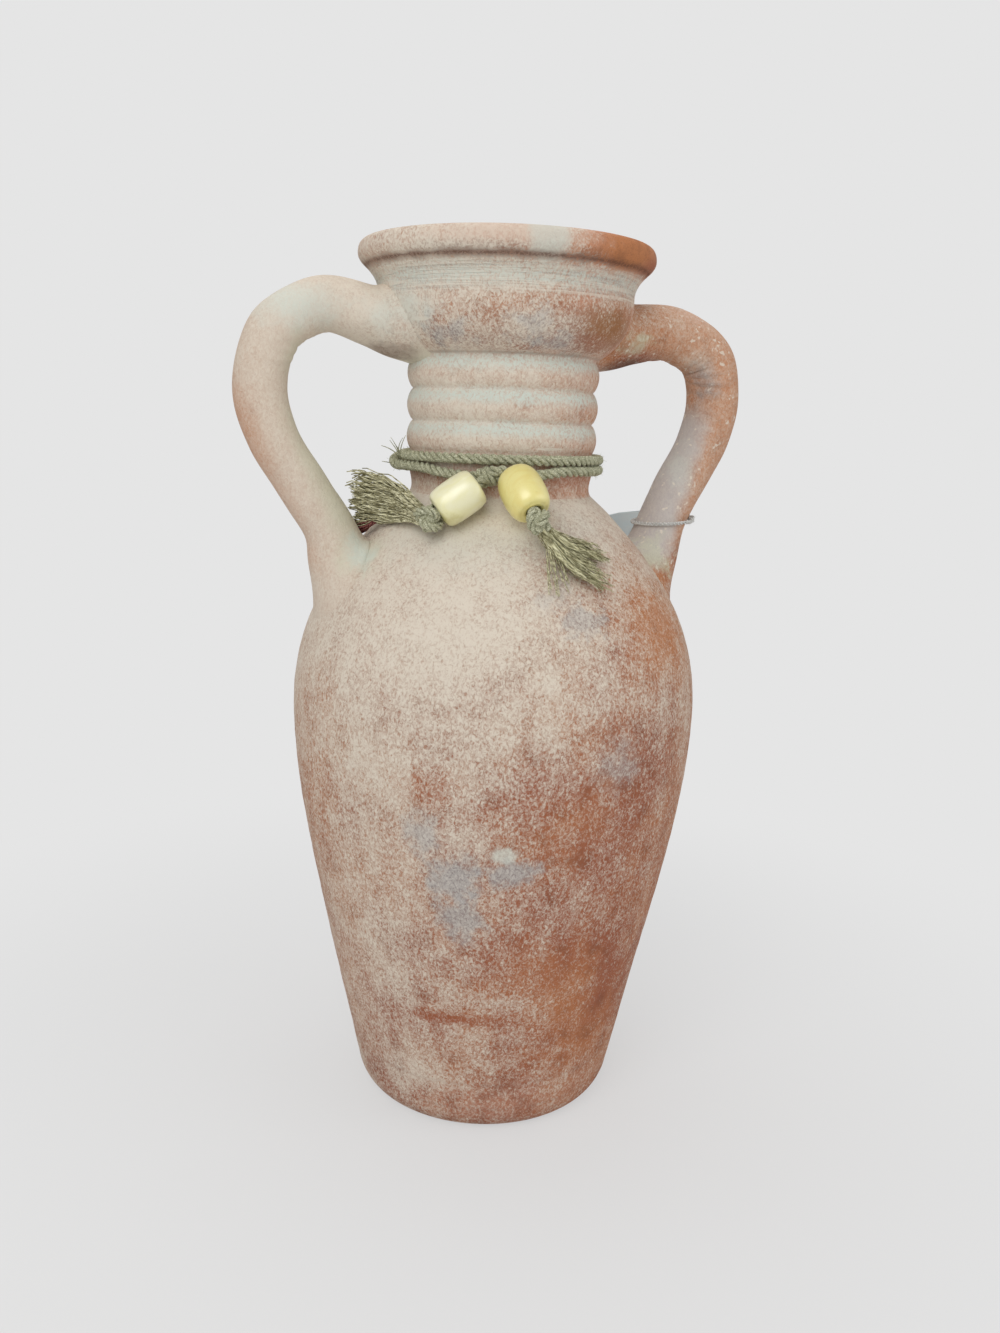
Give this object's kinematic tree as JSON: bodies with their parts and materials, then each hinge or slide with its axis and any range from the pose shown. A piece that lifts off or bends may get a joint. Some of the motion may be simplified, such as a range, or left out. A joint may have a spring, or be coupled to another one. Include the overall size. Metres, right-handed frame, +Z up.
{
  "type": "two-handled vase",
  "caption": "Unglazed terracotta amphora-style vase with a ribbed neck, pulled side handles, a twine tie with wooden beads and tassels, and a small blank swing tag.",
  "frame": {"origin": "middle of the flat foot, on the surface the vase stands on", "axes": "+Z up along the pot's axis of rotation, +X through the right handle as seen in the picture, -Y towards the side the twine tie faces"},
  "size_m": [0.2322, 0.182, 0.384],
  "materials": {
    "terracotta": "matte unglazed, pink-brown with pale lime wash patches",
    "pale_terracotta": "matte unglazed, rubbed with a pale wash",
    "jute": "matte, fibrous",
    "cream_wood": "smooth, semi-gloss",
    "yellow_wood": "smooth, semi-gloss",
    "card": "matte",
    "string": "matte, spun"
  },
  "bodies": {
    "vase": {"body": "terracotta", "neck_and_mouth": "pale_terracotta", "handle_left": "pale_terracotta", "handle_right": "pale_terracotta", "neck_twine": "jute", "front_knot": "jute", "tail_left": "jute", "tail_right": "jute", "end_knot_left": "jute", "end_knot_right": "jute", "tassel_left": "jute", "tassel_right": "jute", "tag_string": "string"},
    "left_bead": {"bead_left": "cream_wood"},
    "right_bead": {"bead_right": "yellow_wood"},
    "tag": {"swing_tag": "card"}
  },
  "joints": [
    {"name": "bead_left_spin", "type": "hinge", "parent": "vase", "child": "left_bead", "pos_m": [-0.03372, -0.04382, 0.28003], "axis": [-0.8049, 0.1198, -0.5812], "continuous": true},
    {"name": "bead_right_spin", "type": "hinge", "parent": "vase", "child": "right_bead", "pos_m": [-0.01004, -0.05538, 0.28312], "axis": [0.1494, -0.7401, -0.6557], "continuous": true},
    {"name": "tag_swing", "type": "hinge", "parent": "vase", "child": "tag", "pos_m": [0.08975, 0.0175, 0.26785], "axis": [0.1908, 0.9816, 0], "range_deg": [0, 30]}
  ]
}
